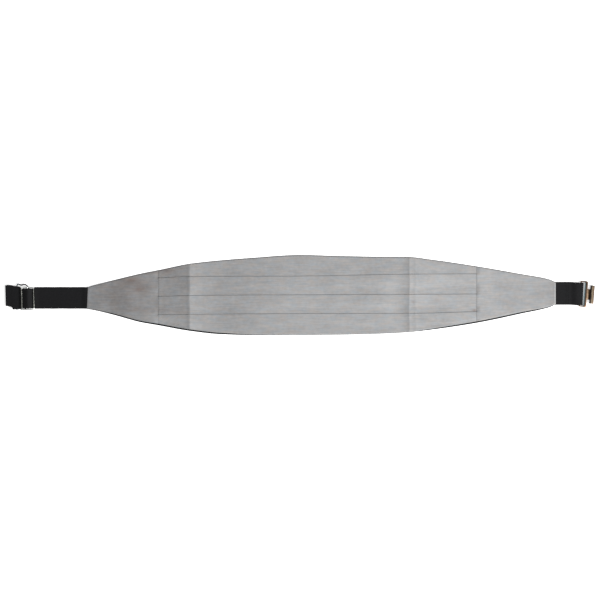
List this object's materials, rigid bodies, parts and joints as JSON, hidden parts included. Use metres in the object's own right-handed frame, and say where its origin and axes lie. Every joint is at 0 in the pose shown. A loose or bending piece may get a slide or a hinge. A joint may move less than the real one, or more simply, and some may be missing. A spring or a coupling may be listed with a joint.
{
  "type": "cummerbund",
  "caption": "Silver-grey pleated cummerbund laid flat, with plain tapered ends, dark lining, black elastic straps, wire slide and eye, and a T hook.",
  "frame": {"origin": "middle of the bounding box, on the surface that the cummerbund lies on", "axes": "+X along the waist towards the hook, +Y up the wearer's body, +Z out of the face"},
  "size_m": [0.8854, 0.12, 0.0084],
  "materials": {
    "shell_cloth": "silver-grey satin-faced polyester with fine crosswise ribs and a soft sheen",
    "lining": "black plain-weave lining",
    "elastic": "black ribbed elastic webbing, matt",
    "plated_wire": "nickel-plated steel wire, slightly dulled",
    "washed_brass": "stamped brass sheet with a worn nickel wash"
  },
  "bodies": {
    "garment": {"backing": "lining", "pleated_panel": "shell_cloth", "end_panel_left": "shell_cloth", "end_panel_right": "shell_cloth", "strap_left": "elastic", "strap_right": "elastic", "slide": "plated_wire", "eye": "plated_wire"},
    "hook": {"hook": "washed_brass"}
  },
  "joints": [
    {"name": "hook_swing", "type": "hinge", "parent": "garment", "child": "hook", "pos_m": [0.4195, 0.002, 0.0023], "axis": [-0.0785, -0.9969, 0], "range_deg": [0, 140]}
  ]
}
